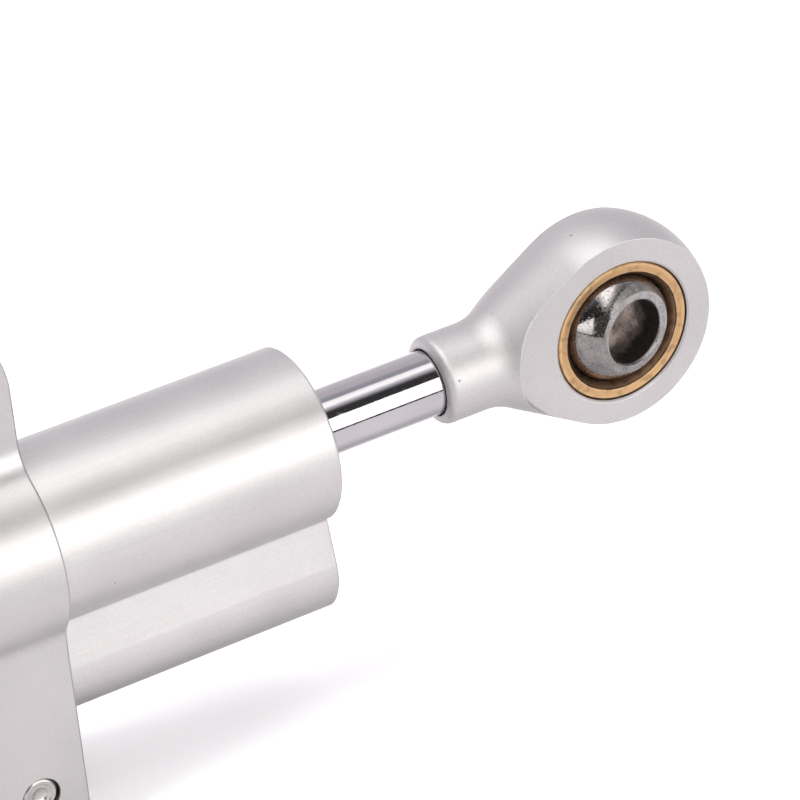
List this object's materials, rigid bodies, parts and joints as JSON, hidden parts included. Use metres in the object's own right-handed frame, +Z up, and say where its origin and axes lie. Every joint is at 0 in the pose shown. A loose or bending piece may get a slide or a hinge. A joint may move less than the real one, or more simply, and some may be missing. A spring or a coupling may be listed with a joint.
{
  "type": "linear steering damper",
  "caption": "Straight hydraulic steering damper: twin-tube aluminium casing in a split clamp with a pivot ball, a chromed through-rod with a ball eye, and an adjuster knob.",
  "frame": {"origin": "centre of the pivot ball in the clamp's ear", "axes": "+X along the rod towards the ball eye, +Z up from the damper's axis to the pivot, -Y towards the front half of the clamp; the pivot bolt lies along Y"},
  "size_m": [0.2428, 0.0302, 0.0863],
  "materials": {
    "anodised_casing": "bead blasted and anodised in clear silver, satin",
    "anodised_clamp": "milled, blasted and anodised in clear silver, satin, with brighter edges",
    "anodised_eye": "turned, milled, blasted and anodised in clear silver, satin",
    "turned_aluminium": "bright turned",
    "knob_anodised": "anodised in dark grey, fluted rim",
    "chromed_steel": "ground and hard chromed, mirror bright",
    "polished_steel": "hardened and polished, with fine scratches and dark specks",
    "bronze": "turned bronze, satin, darker in its mouth",
    "zinc_steel": "bright zinc plate",
    "spring_steel": "phosphated spring steel",
    "seal_rubber": "black nitrile rubber",
    "bearing_plastic": "bronze-filled bearing plastic"
  },
  "bodies": {
    "casing": {"damper_body": "anodised_casing", "gland_left": "turned_aluminium", "gland_right": "turned_aluminium", "rod_bush_left": "bronze", "rod_bush_right": "bronze", "rod_seal_left": "seal_rubber", "rod_seal_right": "seal_rubber", "wiper_left": "seal_rubber", "wiper_right": "seal_rubber", "gland_seal_rings": "seal_rubber", "gland_circlips": "spring_steel", "bonnet": "turned_aluminium", "bonnet_seal_ring": "seal_rubber", "needle_seat": "bronze", "reservoir_plug": "turned_aluminium", "plug_seal_ring": "seal_rubber", "plug_circlip": "spring_steel", "reservoir_spring": "spring_steel", "port_plugs": "zinc_steel", "clamp_front": "anodised_clamp", "clamp_rear": "anodised_clamp", "clamp_lower_screws": "zinc_steel", "clamp_upper_screws": "zinc_steel", "pivot_race": "bronze"},
    "piston_band": {"piston_ring": "bearing_plastic", "piston_energiser": "seal_rubber"},
    "rod": {"damper_rod": "chromed_steel", "piston": "turned_aluminium", "piston_seal_ring": "seal_rubber", "piston_clips": "spring_steel", "rod_end": "anodised_eye", "rod_end_race": "bronze"},
    "eye_ball": {"rod_end_ball": "polished_steel"},
    "mount_ball": {"pivot_ball": "polished_steel"},
    "adjuster": {"adjuster_knob": "knob_anodised", "adjuster_stem": "polished_steel", "stem_seal_ring": "seal_rubber", "knob_screw": "zinc_steel", "detent_ball": "polished_steel", "detent_spring": "spring_steel"},
    "needle_body": {"needle": "polished_steel"},
    "reservoir": {"reservoir_piston": "turned_aluminium", "reservoir_seal_ring": "seal_rubber"}
  },
  "joints": [
    {"name": "rod_slide", "type": "slide", "parent": "casing", "child": "piston_band", "axis": [1, 0, 0], "range_m": [-0.02, 0.05]},
    {"name": "rod_turn", "type": "hinge", "parent": "piston_band", "child": "rod", "pos_m": [0, 0, -0.0263], "axis": [1, 0, 0], "continuous": true},
    {"name": "eye_ball_tip", "type": "hinge", "parent": "rod", "child": "eye_ball", "pos_m": [0.11287, 0, -0.0263], "axis": [0, 0, 1], "range_deg": [-23.5, 2.5]},
    {"name": "pivot_swing", "type": "hinge", "parent": "casing", "child": "mount_ball", "pos_m": [0, 0, 0], "axis": [0, 1, 0], "continuous": true},
    {"name": "knob_turn", "type": "hinge", "parent": "casing", "child": "adjuster", "pos_m": [0, 0, -0.0465], "axis": [1, 0, 0], "range_deg": [-540, 540]},
    {"name": "needle_travel", "type": "slide", "parent": "casing", "child": "needle_body", "axis": [1, 0, 0], "range_m": [-0.0011, 0.0011]},
    {"name": "reservoir_slide", "type": "slide", "parent": "casing", "child": "reservoir", "axis": [1, 0, 0], "range_m": [-0.0012, 0.0025], "stiffness_N_per_m": 2000, "deforming": ["reservoir_spring"]}
  ],
  "couplings": [
    {"joint": "knob_turn", "follows": "needle_travel", "rad_per_m": 8377.6}
  ]
}
